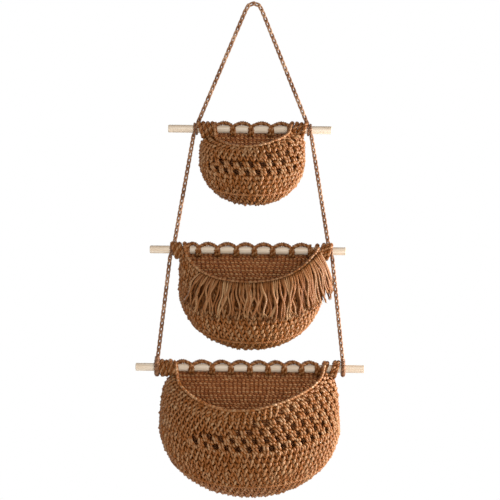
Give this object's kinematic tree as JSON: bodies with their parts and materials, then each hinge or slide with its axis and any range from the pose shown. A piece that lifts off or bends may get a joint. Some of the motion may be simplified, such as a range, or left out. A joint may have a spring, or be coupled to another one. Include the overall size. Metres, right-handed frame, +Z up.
{
  "type": "hanging rope basket",
  "caption": "Wall-hung storage of crocheted rope pouches on wooden dowels, one below the other, carried by chain cords from a sling over a hook.",
  "frame": {"origin": "point of the sling that rests on the hook, on the inner side of the cord", "axes": "+X to the right along the dowels, +Y to the wall, +Z up"},
  "size_m": [0.35, 0.1222, 0.7464],
  "materials": {
    "natural_wood": "raw, sanded",
    "crocheted_yarn": "matt twisted yarn, crocheted",
    "chain_cord": "matt twisted yarn, chain stitch",
    "fringe_yarn": "matt twisted yarn, cut ends"
  },
  "bodies": {
    "sling": {"hanging_sling": "chain_cord"},
    "top_dowel": {"top_dowel": "natural_wood"},
    "top_basket": {"top_back_panel": "crocheted_yarn", "top_front_pocket": "crocheted_yarn", "top_rim_edging": "crocheted_yarn", "top_heading": "crocheted_yarn", "top_left_corner_wrap": "crocheted_yarn", "top_right_corner_wrap": "crocheted_yarn"},
    "middle_cords": {"middle_left_cord": "chain_cord", "middle_right_cord": "chain_cord"},
    "middle_dowel": {"middle_dowel": "natural_wood"},
    "middle_basket": {"middle_back_panel": "crocheted_yarn", "middle_front_pocket": "crocheted_yarn", "middle_rim_edging": "crocheted_yarn", "middle_heading": "crocheted_yarn", "middle_left_corner_wrap": "crocheted_yarn", "middle_right_corner_wrap": "crocheted_yarn", "fringe_strand_01": "fringe_yarn", "fringe_strand_02": "fringe_yarn", "fringe_strand_03": "fringe_yarn", "fringe_strand_04": "fringe_yarn", "fringe_strand_05": "fringe_yarn", "fringe_strand_06": "fringe_yarn", "fringe_strand_07": "fringe_yarn", "fringe_strand_08": "fringe_yarn", "fringe_strand_09": "fringe_yarn", "fringe_strand_10": "fringe_yarn", "fringe_strand_11": "fringe_yarn", "fringe_strand_12": "fringe_yarn", "fringe_strand_13": "fringe_yarn", "fringe_strand_14": "fringe_yarn", "fringe_strand_15": "fringe_yarn", "fringe_strand_16": "fringe_yarn", "fringe_strand_17": "fringe_yarn", "fringe_strand_18": "fringe_yarn", "fringe_strand_19": "fringe_yarn", "fringe_strand_20": "fringe_yarn", "fringe_strand_21": "fringe_yarn", "fringe_strand_22": "fringe_yarn"},
    "bottom_cords": {"bottom_left_cord": "chain_cord", "bottom_right_cord": "chain_cord"},
    "bottom_dowel": {"bottom_dowel": "natural_wood"},
    "bottom_basket": {"bottom_back_panel": "crocheted_yarn", "bottom_front_pocket": "crocheted_yarn", "bottom_rim_edging": "crocheted_yarn", "bottom_heading": "crocheted_yarn", "bottom_left_corner_wrap": "crocheted_yarn", "bottom_right_corner_wrap": "crocheted_yarn"}
  },
  "joints": [
    {"name": "middle_tier_swing", "type": "hinge", "parent": "sling", "child": "middle_cords", "pos_m": [0, 0, -0.19], "axis": [-1, 0, 0], "range_deg": [0, 25]},
    {"name": "bottom_tier_swing", "type": "hinge", "parent": "middle_cords", "child": "bottom_cords", "pos_m": [0, 0, -0.375], "axis": [-1, 0, 0], "range_deg": [0, 25]},
    {"name": "top_basket_swing", "type": "hinge", "parent": "sling", "child": "top_basket", "pos_m": [0, 0, -0.19], "axis": [-1, 0, 0], "range_deg": [0, 45]},
    {"name": "top_dowel_slide", "type": "slide", "parent": "sling", "child": "top_dowel", "axis": [1, 0, 0], "range_m": [-0.025, 0.03]},
    {"name": "middle_basket_swing", "type": "hinge", "parent": "middle_cords", "child": "middle_basket", "pos_m": [0, 0, -0.375], "axis": [-1, 0, 0], "range_deg": [0, 45]},
    {"name": "middle_dowel_slide", "type": "slide", "parent": "middle_cords", "child": "middle_dowel", "axis": [1, 0, 0], "range_m": [-0.015, 0.025]},
    {"name": "bottom_basket_swing", "type": "hinge", "parent": "bottom_cords", "child": "bottom_basket", "pos_m": [0, 0, -0.555], "axis": [-1, 0, 0], "range_deg": [0, 45]},
    {"name": "bottom_dowel_slide", "type": "slide", "parent": "bottom_cords", "child": "bottom_dowel", "axis": [1, 0, 0], "range_m": [-0.03, 0.03]}
  ]
}
